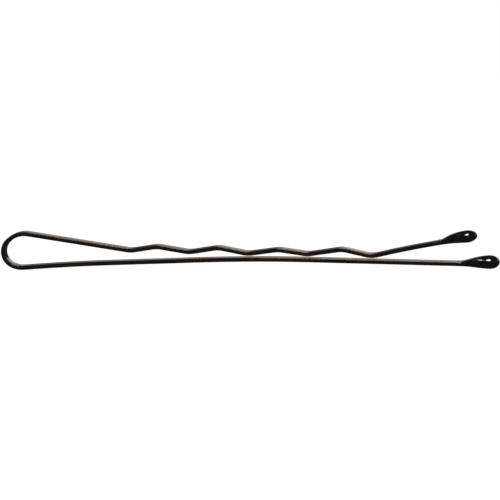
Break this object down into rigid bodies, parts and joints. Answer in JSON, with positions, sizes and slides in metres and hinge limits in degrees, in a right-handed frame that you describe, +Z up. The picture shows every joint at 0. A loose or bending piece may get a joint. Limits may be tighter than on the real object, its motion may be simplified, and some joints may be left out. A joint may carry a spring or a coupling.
{
  "type": "bobby pin",
  "caption": "Bobby pin of flat lacquered spring wire: a round bow joins a straight leg to a crimped leg that grips hair against it, with a glossy resin drop on each end.",
  "frame": {"origin": "on the floor below the middle of the pin's length, in the plane that the two legs share", "axes": "+X runs from the bow to the two tips, +Y lies across the width of the wire, and +Z is up, from the straight leg to the crimped leg"},
  "size_m": [0.0646, 0.0018, 0.0049],
  "materials": {
    "lacquered_wire": "gloss brown-black lacquer on flat spring steel",
    "tip_resin": "smooth high-gloss black dipped resin"
  },
  "bodies": {
    "straight_side": {"straight_leg": "lacquered_wire", "spring_bow": "lacquered_wire", "straight_leg_tip": "tip_resin"},
    "crimped_side": {"crimped_leg": "lacquered_wire", "crimped_leg_tip": "tip_resin"}
  },
  "joints": [
    {"name": "bow_spring", "type": "hinge", "parent": "straight_side", "child": "crimped_side", "pos_m": [-0.03013, 0, 0.00232], "axis": [0, -1, 0], "range_deg": [-0.25, 20], "stiffness_Nm_per_rad": 0.076, "deforming": ["spring_bow"]}
  ]
}
